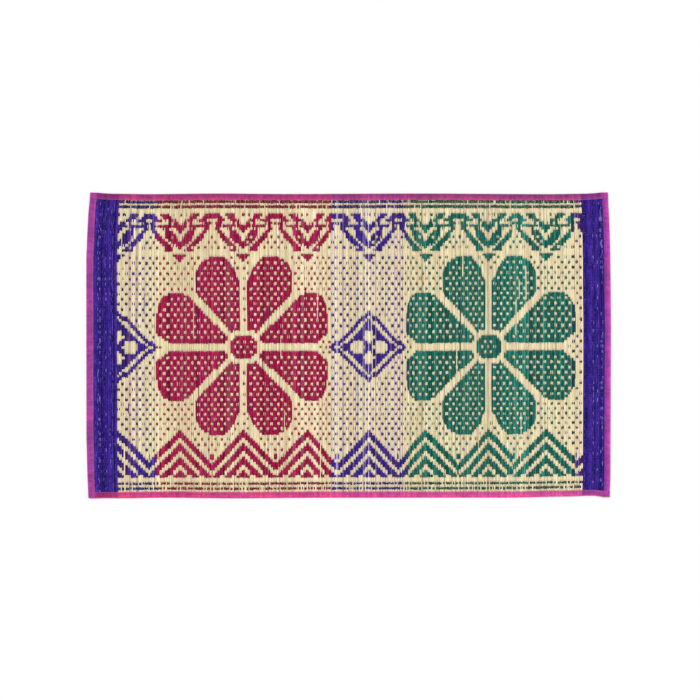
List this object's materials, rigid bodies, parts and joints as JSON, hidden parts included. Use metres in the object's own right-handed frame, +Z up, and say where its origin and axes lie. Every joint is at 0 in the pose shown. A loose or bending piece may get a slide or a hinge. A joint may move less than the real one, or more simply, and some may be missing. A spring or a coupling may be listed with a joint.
{
  "type": "woven sedge floor mat with cloth-bound edges",
  "caption": "Flat rectangular woven grass mat with dyed flower and chevron bands, its four edges bound in folded cloth tape.",
  "frame": {"origin": "middle of the bounding box's base, on the floor under the mat's centre", "axes": "+X along the mat's long side, +Y along its stalks and towards the leaf border, +Z up out of the face side"},
  "size_m": [1.8278, 1.0662, 0.0076],
  "materials": {
    "sedge_natural": "undyed split sedge stalks, straw with green and pink streaks, low sheen",
    "sedge_maroon": "sedge stalks dyed maroon, uneven from stalk to stalk, low sheen",
    "sedge_green": "sedge stalks dyed blue-green, uneven from stalk to stalk, low sheen",
    "sedge_violet": "sedge stalks dyed violet, uneven from stalk to stalk, low sheen",
    "sedge_blue": "sedge stalks dyed deep blue, uneven from stalk to stalk, low sheen",
    "warp_thread": "thin plied cotton warp thread, matt",
    "binding_cloth": "thin magenta cotton tape, plain weave, matt, slightly translucent",
    "stitch_thread": "pale pink sewing thread, lockstitch, matt"
  },
  "bodies": {
    "root": {"woven_panel": "sedge_natural", "end_tape_left": "binding_cloth", "end_tape_right": "binding_cloth", "long_tape_far": "binding_cloth", "long_tape_near": "binding_cloth"}
  },
  "joints": []
}
